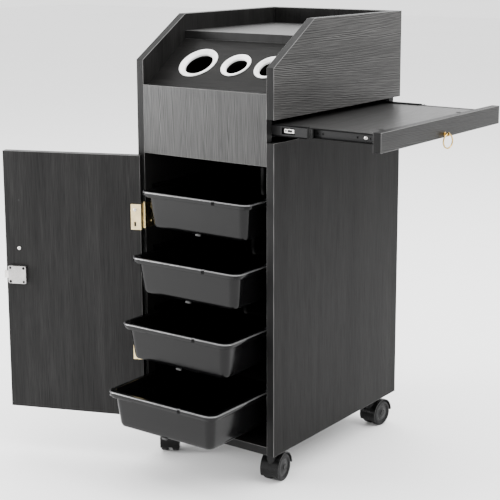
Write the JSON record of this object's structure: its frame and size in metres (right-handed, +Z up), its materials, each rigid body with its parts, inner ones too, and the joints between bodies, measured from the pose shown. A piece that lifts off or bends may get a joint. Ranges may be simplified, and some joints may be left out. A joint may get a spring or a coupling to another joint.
{
  "type": "salon trolley",
  "caption": "Wheeled salon cabinet with pull-out trays behind a hinged door, a sloping panel with tool sleeves, a gallery top and a pull-out side shelf.",
  "frame": {"origin": "the point on the floor below the middle of the cabinet's base", "axes": "+Z up; -Y towards the door side; +X towards the pull-out side shelf"},
  "size_m": [0.7979, 0.6038, 0.881],
  "materials": {
    "oak_board": "charcoal oak-grain melamine, low sheen",
    "tray_black": "smooth semi-gloss moulded black",
    "holder_white": "smooth white",
    "hinge_zinc": "yellow-passivated zinc",
    "nickel": "nickel plated",
    "pull_brass": "polished brass",
    "slide_black": "black electro-coated steel",
    "zinc_steel": "bright zinc",
    "caster_black": "moulded black nylon",
    "wheel_grey": "dark grey tread",
    "dowel_wood": "fluted beech",
    "cam_metal": "die-cast zinc"
  },
  "bodies": {
    "cabinet": {"left_side_panel": "oak_board", "right_side_panel_upper": "oak_board", "right_side_panel_lower": "oak_board", "bottom_panel": "oak_board", "back_panel": "oak_board", "front_panel": "oak_board", "tray_bay_deck": "oak_board", "holder_bay_floor": "oak_board", "top_shelf": "oak_board", "holder_panel": "oak_board", "holder_sleeve_large": "holder_white", "holder_sleeve_middle": "holder_white", "holder_sleeve_right": "holder_white", "panel_dowels": "dowel_wood", "cam_fittings": "cam_metal", "tray_runners_left": "slide_black", "tray_runners_right": "slide_black", "cabinet_hinge_leaves": "hinge_zinc", "hinge_pins": "hinge_zinc", "slide_outer_front": "slide_black", "slide_outer_rear": "slide_black", "cabinet_screws": "zinc_steel", "caster_plates": "zinc_steel", "caster_screws": "zinc_steel"},
    "door": {"door_panel": "oak_board", "door_hinge_leaves": "hinge_zinc", "lock_case": "nickel", "door_screws": "nickel", "door_pull_post": "pull_brass"},
    "lock_plug": {"lock_plug": "nickel"},
    "lock_bolt": {"lock_bolt": "nickel"},
    "door_pull_ring": {"door_pull_ring": "pull_brass"},
    "side_shelf": {"side_shelf_board": "oak_board", "side_shelf_cams": "caster_black", "side_shelf_fascia": "oak_board", "shelf_pull_post": "pull_brass", "slide_inner_front": "slide_black", "slide_inner_rear": "slide_black", "side_shelf_screws": "zinc_steel"},
    "shelf_pull_ring": {"shelf_pull_ring": "pull_brass"},
    "slide_middle_front": {"slide_middle_front": "slide_black"},
    "slide_middle_rear": {"slide_middle_rear": "slide_black"},
    "release_lever_front": {"release_lever_front": "nickel"},
    "release_lever_rear": {"release_lever_rear": "nickel"},
    "tray_1": {"tray_1": "tray_black"},
    "tray_2": {"tray_2": "tray_black"},
    "tray_3": {"tray_3": "tray_black"},
    "tray_4": {"tray_4": "tray_black"},
    "caster_swivel_front_left": {"caster_hood_front_left": "caster_black", "caster_axle_front_left": "zinc_steel"},
    "caster_wheels_front_left": {"caster_wheels_front_left": "wheel_grey"},
    "caster_swivel_front_right": {"caster_hood_front_right": "caster_black", "caster_axle_front_right": "zinc_steel"},
    "caster_wheels_front_right": {"caster_wheels_front_right": "wheel_grey"},
    "caster_swivel_rear_left": {"caster_hood_rear_left": "caster_black", "caster_axle_rear_left": "zinc_steel"},
    "caster_wheels_rear_left": {"caster_wheels_rear_left": "wheel_grey"},
    "caster_swivel_rear_right": {"caster_hood_rear_right": "caster_black", "caster_axle_rear_right": "zinc_steel"},
    "caster_wheels_rear_right": {"caster_wheels_rear_right": "wheel_grey"}
  },
  "joints": [
    {"name": "door_swing", "type": "hinge", "parent": "cabinet", "child": "door", "pos_m": [-0.1433, -0.2298, 0.4], "axis": [0, 0, -1], "range_deg": [-33, 14]},
    {"name": "tray_1_slide", "type": "slide", "parent": "cabinet", "child": "tray_1", "axis": [0, -1, 0], "range_m": [-0.057, 0.1625]},
    {"name": "tray_2_slide", "type": "slide", "parent": "cabinet", "child": "tray_2", "axis": [0, -1, 0], "range_m": [-0.089, 0.1305]},
    {"name": "tray_3_slide", "type": "slide", "parent": "cabinet", "child": "tray_3", "axis": [0, -1, 0], "range_m": [-0.1193, 0.1002]},
    {"name": "tray_4_slide", "type": "slide", "parent": "cabinet", "child": "tray_4", "axis": [0, -1, 0], "range_m": [-0.1641, 0.0554]},
    {"name": "side_shelf_slide", "type": "slide", "parent": "cabinet", "child": "side_shelf", "axis": [1, 0, 0], "range_m": [-0.2196, 0.015]},
    {"name": "slide_middle_front_travel", "type": "slide", "parent": "cabinet", "child": "slide_middle_front", "axis": [1, 0, 0], "range_m": [-0.1099, 0.0076]},
    {"name": "slide_middle_rear_travel", "type": "slide", "parent": "cabinet", "child": "slide_middle_rear", "axis": [1, 0, 0], "range_m": [-0.1099, 0.0076]},
    {"name": "shelf_pull_swing", "type": "hinge", "parent": "side_shelf", "child": "shelf_pull_ring", "pos_m": [0.3875, 0.00225, 0.6735], "axis": [0, -1, 0], "range_deg": [0, 90]},
    {"name": "door_pull_swing", "type": "hinge", "parent": "door", "child": "door_pull_ring", "pos_m": [-0.3826, -0.32195, 0.4235], "axis": [0.9272, 0.3746, 0], "range_deg": [0, 90]},
    {"name": "lock_plug_turn", "type": "hinge", "parent": "door", "child": "lock_plug", "pos_m": [-0.38285, -0.33015, 0.3705], "axis": [0.3746, -0.9272, 0], "range_deg": [0, 90]},
    {"name": "lock_bolt_throw", "type": "slide", "parent": "door", "child": "lock_bolt", "axis": [-0.9272, -0.3746, 0], "range_m": [0, 0.0065]},
    {"name": "release_lever_front_press", "type": "hinge", "parent": "side_shelf", "child": "release_lever_front", "pos_m": [0.1715, -0.2043, 0.6865], "axis": [0, 1, 0], "range_deg": [0, 8], "stiffness_Nm_per_rad": 0.02, "springref_deg": -5.73},
    {"name": "release_lever_rear_press", "type": "hinge", "parent": "side_shelf", "child": "release_lever_rear", "pos_m": [0.1715, 0.2043, 0.6865], "axis": [0, 1, 0], "range_deg": [0, 8], "stiffness_Nm_per_rad": 0.02, "springref_deg": -5.73},
    {"name": "caster_front_left_swivel", "type": "hinge", "parent": "cabinet", "child": "caster_swivel_front_left", "pos_m": [-0.1265, -0.1838, 0.066], "axis": [0, 0, 1], "continuous": true},
    {"name": "caster_front_left_roll", "type": "hinge", "parent": "caster_swivel_front_left", "child": "caster_wheels_front_left", "pos_m": [-0.13625, -0.16987, 0.027], "axis": [0.8192, 0.5736, 0], "continuous": true},
    {"name": "caster_front_right_swivel", "type": "hinge", "parent": "cabinet", "child": "caster_swivel_front_right", "pos_m": [0.1265, -0.1838, 0.066], "axis": [0, 0, 1], "continuous": true},
    {"name": "caster_front_right_roll", "type": "hinge", "parent": "caster_swivel_front_right", "child": "caster_wheels_front_right", "pos_m": [0.12428, -0.16695, 0.027], "axis": [0.9914, 0.1305, 0], "continuous": true},
    {"name": "caster_rear_left_swivel", "type": "hinge", "parent": "cabinet", "child": "caster_swivel_rear_left", "pos_m": [-0.1265, 0.1838, 0.066], "axis": [0, 0, 1], "continuous": true},
    {"name": "caster_rear_left_roll", "type": "hinge", "parent": "caster_swivel_rear_left", "child": "caster_wheels_rear_left", "pos_m": [-0.12472, 0.20071, 0.027], "axis": [0.9945, -0.1045, 0], "continuous": true},
    {"name": "caster_rear_right_swivel", "type": "hinge", "parent": "cabinet", "child": "caster_swivel_rear_right", "pos_m": [0.1265, 0.1838, 0.066], "axis": [0, 0, 1], "continuous": true},
    {"name": "caster_rear_right_roll", "type": "hinge", "parent": "caster_swivel_rear_right", "child": "caster_wheels_rear_right", "pos_m": [0.12819, 0.20072, 0.027], "axis": [0.9951, -0.0993, 0], "continuous": true}
  ],
  "couplings": [
    {"joint": "slide_middle_front_travel", "follows": "side_shelf_slide", "ratio": 0.5},
    {"joint": "slide_middle_rear_travel", "follows": "side_shelf_slide", "ratio": 0.5},
    {"joint": "lock_plug_turn", "follows": "lock_bolt_throw", "rad_per_m": 241}
  ]
}
